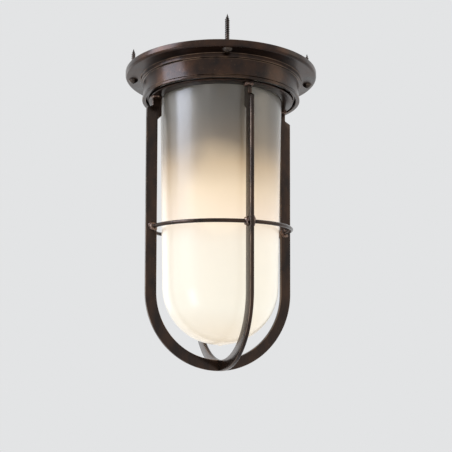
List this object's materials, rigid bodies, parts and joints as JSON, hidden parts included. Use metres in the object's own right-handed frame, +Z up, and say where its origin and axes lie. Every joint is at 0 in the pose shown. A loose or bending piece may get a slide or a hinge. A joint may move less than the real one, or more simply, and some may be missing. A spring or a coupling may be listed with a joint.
{
  "type": "porch ceiling lantern",
  "caption": "Dark bronze porch ceiling lantern: a round screwed flange and drum, a round-ended frosted glass jar with a lamp in it, and a crossed-strap guard with a wire ring.",
  "frame": {"origin": "centre of the flange's flat face against the ceiling", "axes": "+Z up into the ceiling, the lantern hangs down -Z; the guard's two straps lie in the XZ and YZ planes"},
  "size_m": [0.165, 0.165, 0.2787],
  "materials": {
    "dark_bronze": "oil-rubbed dark bronze, satin",
    "bronzed_screw": "dark bronzed brass",
    "braze": "worn copper-brown braze",
    "brass": "bright stamped brass",
    "nickel": "nickel plate on brass",
    "zinc_steel": "zinc plate",
    "green_screw": "green passivated",
    "solder": "dull solder",
    "porcelain": "brown glazed porcelain",
    "black_glass": "black insulating glass",
    "lamp_glass": "inside-frosted lamp glass",
    "frosted_glass": "acid-frosted white glass",
    "black_rubber": "moulded rubber"
  },
  "bodies": {
    "housing": {"housing_casting": "dark_bronze", "ceiling_gasket": "black_rubber", "ceiling_screws": "bronzed_screw", "upper_glass_washer": "black_rubber", "lampholder_bracket": "zinc_steel", "bracket_screws": "zinc_steel", "lampholder_screws": "zinc_steel", "ground_screw": "green_screw", "lampholder_body": "porcelain", "line_terminal_screw": "brass", "neutral_terminal_screw": "nickel", "lampholder_shell": "brass", "centre_contact": "brass"},
    "glass": {"glass_jar": "frosted_glass", "lower_glass_washer": "black_rubber"},
    "guard": {"guard_ring": "dark_bronze", "guard_strap_x": "dark_bronze", "guard_strap_y": "dark_bronze", "guard_wire_ring": "dark_bronze", "wire_brazes": "braze", "strap_brazes": "braze"},
    "lamp_tip": {"lamp_contact": "solder"},
    "lamp": {"lamp_envelope": "lamp_glass", "lamp_screw_base": "nickel", "lamp_insulator": "black_glass", "lamp_stem": "lamp_glass", "lamp_filament": "zinc_steel"}
  },
  "joints": [
    {"name": "glass_lower", "type": "slide", "parent": "housing", "child": "glass", "axis": [0, 0, -1], "range_m": [0, 0.0075]},
    {"name": "guard_unscrew", "type": "hinge", "parent": "glass", "child": "guard", "pos_m": [0, 0, -0.0246], "axis": [0, 0, -1], "range_deg": [0, 1080]},
    {"name": "lamp_lower", "type": "slide", "parent": "housing", "child": "lamp_tip", "axis": [0, 0, -1], "range_m": [0, 0.01089]},
    {"name": "lamp_unscrew", "type": "hinge", "parent": "lamp_tip", "child": "lamp", "pos_m": [0, 0, -0.0527], "axis": [0, 0, -1], "range_deg": [0, 1080]}
  ],
  "couplings": [
    {"joint": "glass_lower", "follows": "guard_unscrew", "m_per_rad": 0.00039789},
    {"joint": "lamp_lower", "follows": "lamp_unscrew", "m_per_rad": 0.00057757}
  ]
}
